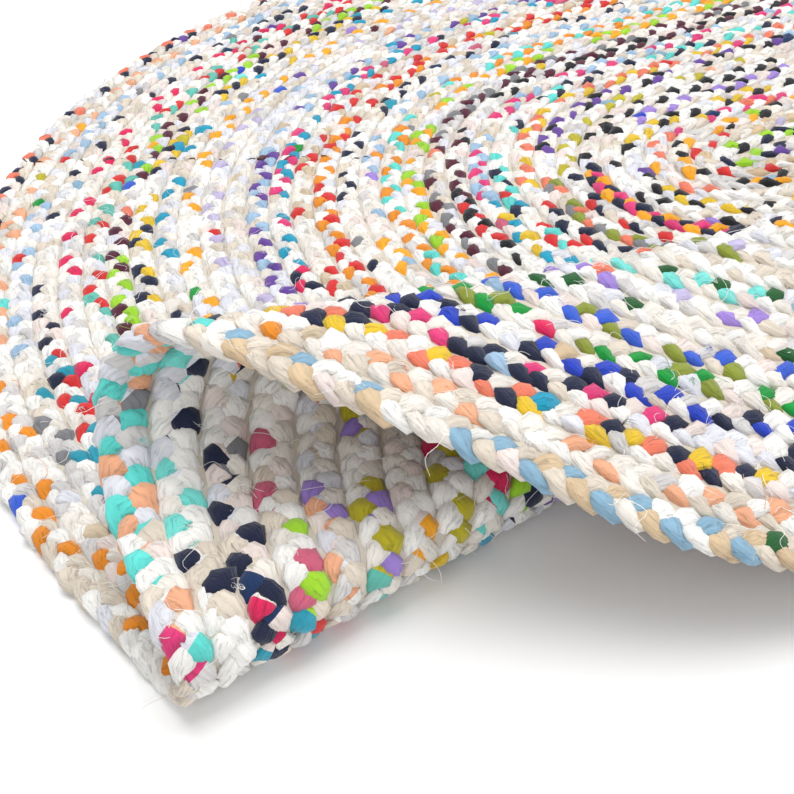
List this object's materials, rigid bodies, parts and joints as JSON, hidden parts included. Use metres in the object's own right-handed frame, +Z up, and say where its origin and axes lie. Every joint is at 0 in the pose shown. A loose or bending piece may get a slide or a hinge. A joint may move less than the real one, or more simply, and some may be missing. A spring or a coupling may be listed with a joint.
{
  "type": "braided rug",
  "caption": "Oval braided rag rug, lying flat with one long side folded back on top of itself in an S fold.",
  "frame": {"origin": "middle of the underside of the rug as it would lie if it were all unfolded", "axes": "+Z up, +X along the rug's long side, +Y across the rug away from the folded side"},
  "size_m": [1.8282, 1.0632, 0.1456],
  "materials": {
    "braided_cotton": "matt cotton rag"
  },
  "bodies": {
    "root": {"rug": "braided_cotton"}
  },
  "joints": []
}
